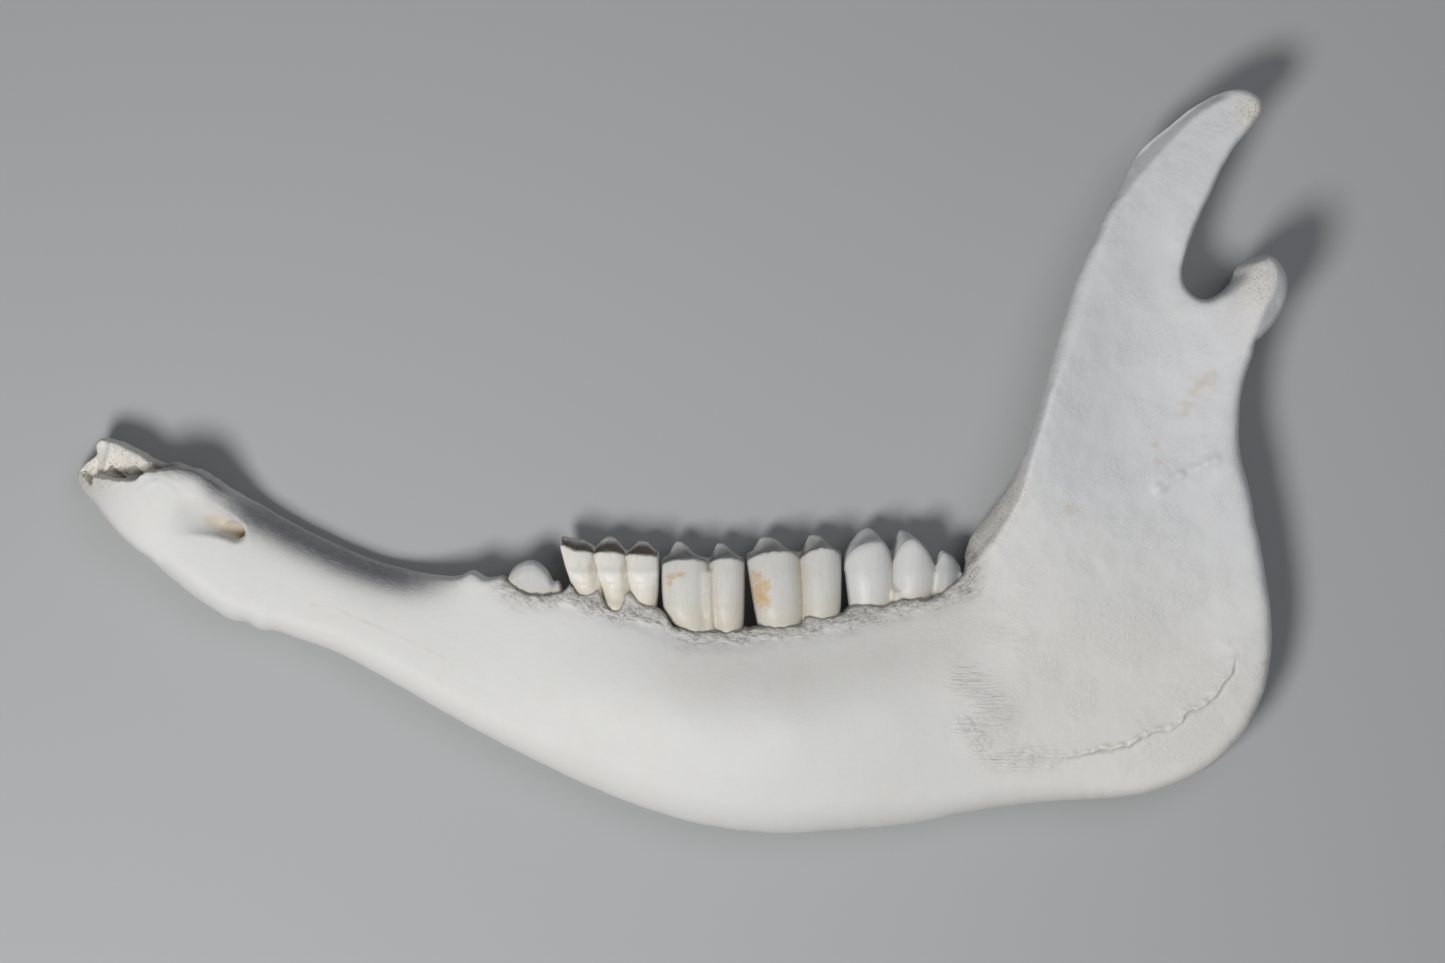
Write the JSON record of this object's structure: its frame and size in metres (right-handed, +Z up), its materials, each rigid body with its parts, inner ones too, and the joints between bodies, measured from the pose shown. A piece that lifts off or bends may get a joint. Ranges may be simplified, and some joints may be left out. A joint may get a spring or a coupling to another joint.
{
  "type": "cattle jawbone half",
  "caption": "Half of a cattle jawbone with its cheek teeth, lying on its inner side: a still museum-type model of a bone.",
  "frame": {"origin": "centre of the bounding box in plan, at the level of the surface the bone lies on", "axes": "+X from the incisor end to the angle of the jaw, +Y from the lower border to the tooth row and the coronoid process, +Z up, out of the lateral face"},
  "size_m": [0.3792, 0.2318, 0.041],
  "materials": {
    "bone": "matt",
    "enamel": "satin"
  },
  "bodies": {
    "root": {"jawbone": "bone", "erupting_premolar": "enamel", "milk_premolar": "enamel", "molar_1": "enamel", "molar_2": "enamel", "molar_3": "enamel"}
  },
  "joints": []
}
